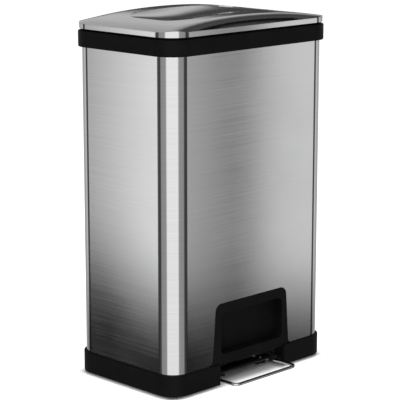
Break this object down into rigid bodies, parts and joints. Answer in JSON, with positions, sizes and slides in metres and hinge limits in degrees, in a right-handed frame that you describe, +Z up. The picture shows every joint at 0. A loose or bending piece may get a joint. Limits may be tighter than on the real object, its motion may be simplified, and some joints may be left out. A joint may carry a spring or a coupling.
{
  "type": "pedal bin",
  "caption": "Rectangular steel kitchen waste bin with a lift-out bucket, whose hinged lid is opened by a wire foot pedal through a lever and push rod.",
  "frame": {"origin": "on the floor, under the middle of the whole footprint from the pedal's front bar to the hinge housing's back", "axes": "+Z up, -Y out of the front where the pedal is, +X to the right for someone who stands in front of the bin"},
  "size_m": [0.4, 0.304, 0.6415],
  "materials": {
    "brushed_body": "brushed round the body, satin",
    "brushed_lid": "brushed along the lid, satin",
    "black_base": "fine grained black moulding",
    "black_frame": "fine grained black moulding",
    "black_collar": "fine grained black moulding",
    "black_liner": "plain black moulding",
    "white_guides": "natural low-friction plastic",
    "grey_bucket": "dark grey moulding",
    "rubber": "soft black rubber",
    "chromed_wire": "bright chromed wire",
    "black_coat": "black powder coat on pressed steel",
    "zinc_plate": "zinc-plated pressed sheet",
    "zinc_rod": "drawn steel rod",
    "screw_steel": "zinc-plated screws"
  },
  "bodies": {
    "can": {"body_shell": "brushed_body", "base_ring": "black_base", "toe_recess_housing": "black_frame", "top_collar": "black_collar", "hinge_housing": "black_frame", "hinge_pin": "zinc_rod", "back_screws": "screw_steel", "collar_screws": "screw_steel", "base_screws": "screw_steel", "housing_screws": "screw_steel", "rubber_feet": "rubber", "pedal_axle": "black_coat", "axle_clips": "black_coat", "rod_cover": "black_liner", "cover_screws": "screw_steel", "rod_guides": "white_guides", "inner_bucket": "grey_bucket"},
    "lid": {"lid_skin": "brushed_lid", "lid_liner": "black_liner", "lid_crank": "zinc_plate", "crank_screws": "screw_steel", "lid_bumpers": "rubber"},
    "pedal": {"pedal_wire": "chromed_wire", "pedal_lever": "black_coat", "lever_bushes": "black_liner", "wire_clamps": "black_coat", "clamp_screws": "screw_steel"},
    "rod": {"push_rod": "zinc_rod", "rod_end": "zinc_rod", "link_pin": "zinc_rod"}
  },
  "joints": [
    {"name": "lid_hinge", "type": "hinge", "parent": "can", "child": "lid", "pos_m": [0, 0.143, 0.612], "axis": [-1, 0, 0], "range_deg": [0, 75]},
    {"name": "pedal_pivot", "type": "hinge", "parent": "can", "child": "pedal", "pos_m": [0, -0.095, 0.0185], "axis": [1, 0, 0], "range_deg": [0, 7.22]},
    {"name": "rod_slide", "type": "slide", "parent": "can", "child": "rod", "axis": [0, 0, 1], "range_m": [0, 0.02767]}
  ],
  "couplings": [
    {"joint": "pedal_pivot", "follows": "lid_hinge", "ratio": 0.095983},
    {"joint": "rod_slide", "follows": "lid_hinge", "m_per_rad": 0.021103}
  ]
}
